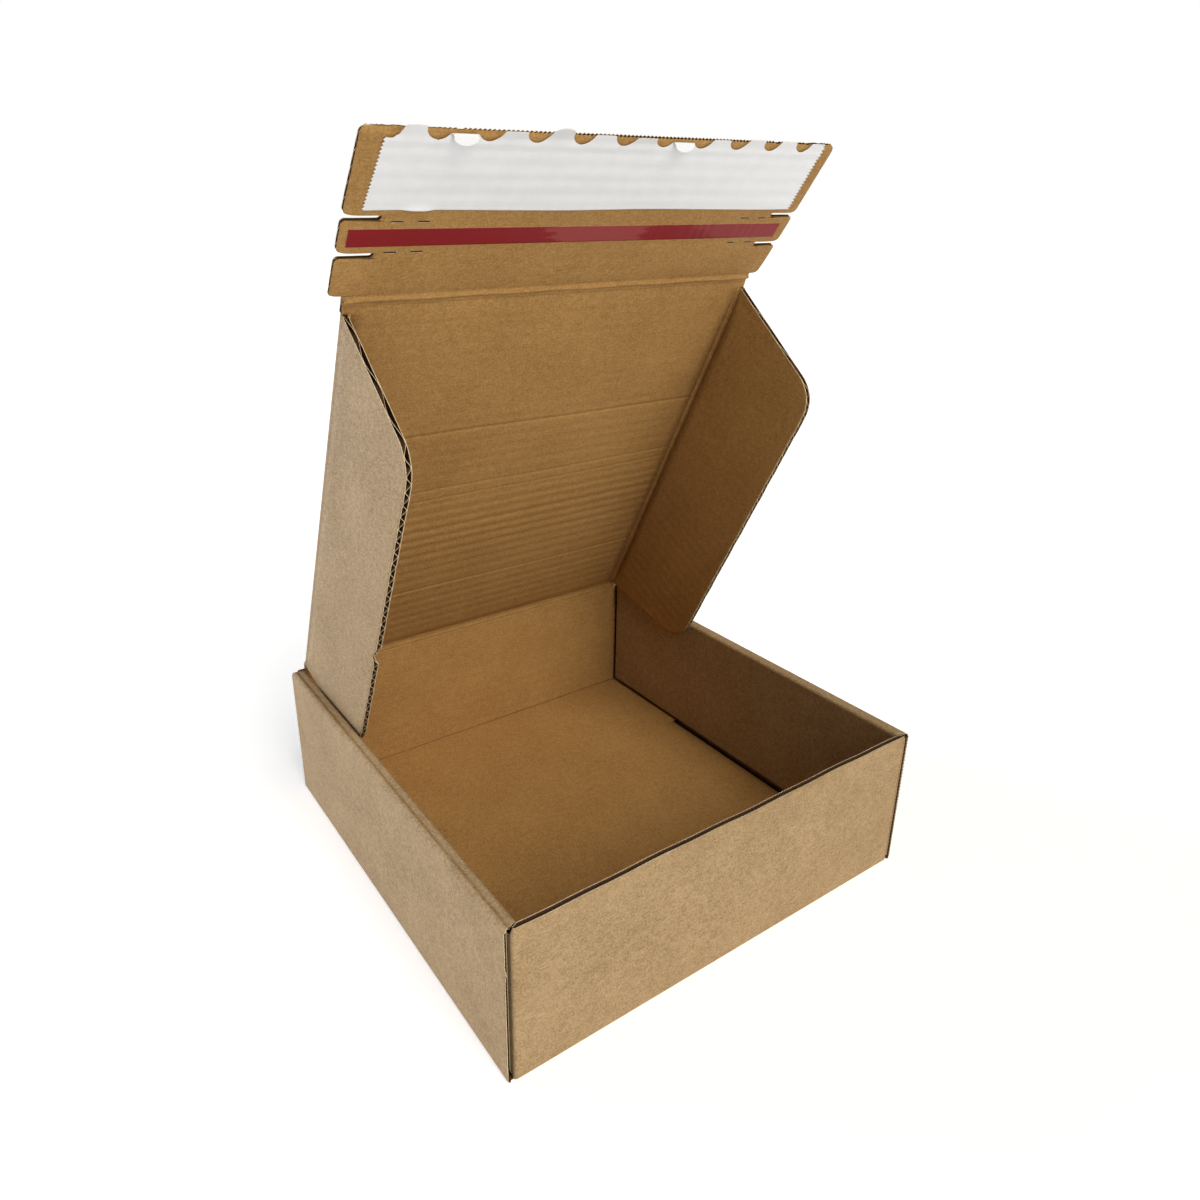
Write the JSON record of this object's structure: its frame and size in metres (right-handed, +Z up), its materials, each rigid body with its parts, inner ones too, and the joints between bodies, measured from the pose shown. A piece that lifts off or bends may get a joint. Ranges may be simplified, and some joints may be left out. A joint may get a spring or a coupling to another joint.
{
  "type": "open cardboard mailing box",
  "caption": "Open roll-end mailing box of brown corrugated board: hinged lid with side ears, and a front flap with tear strip and adhesive under a white liner.",
  "frame": {"origin": "centre of the tray's underside", "axes": "+Z up, -Y towards the front wall, +X to the right as seen from the front"},
  "size_m": [0.24, 0.24, 0.3564],
  "materials": {
    "kraft_board": "matt uncoated kraft liner",
    "adhesive": "clear tacky acrylic film",
    "liner_paper": "smooth siliconised white paper",
    "tear_tape_film": "glossy red film"
  },
  "bodies": {
    "tray": {"tray": "kraft_board"},
    "lid": {"lid_panel": "kraft_board"},
    "left_ear": {"left_ear": "kraft_board"},
    "right_ear": {"right_ear": "kraft_board"},
    "front_flap": {"front_flap": "kraft_board", "closure_adhesive": "adhesive", "release_liner": "liner_paper", "tear_tape": "tear_tape_film"}
  },
  "joints": [
    {"name": "lid_hinge", "type": "hinge", "parent": "tray", "child": "lid", "pos_m": [0, 0.1186, 0.0807], "axis": [-1, 0, 0], "range_deg": [-63, 117]},
    {"name": "front_flap_hinge", "type": "hinge", "parent": "lid", "child": "front_flap", "pos_m": [0, 0.00951, 0.29481], "axis": [1, 0, 0], "range_deg": [-80, 80.3]},
    {"name": "left_ear_hinge", "type": "hinge", "parent": "lid", "child": "left_ear", "pos_m": [-0.1095, 0.06281, 0.18712], "axis": [0, -0.454, 0.891], "range_deg": [0, 88]},
    {"name": "right_ear_hinge", "type": "hinge", "parent": "lid", "child": "right_ear", "pos_m": [0.1095, 0.06281, 0.18712], "axis": [0, 0.454, -0.891], "range_deg": [0, 88]}
  ]
}
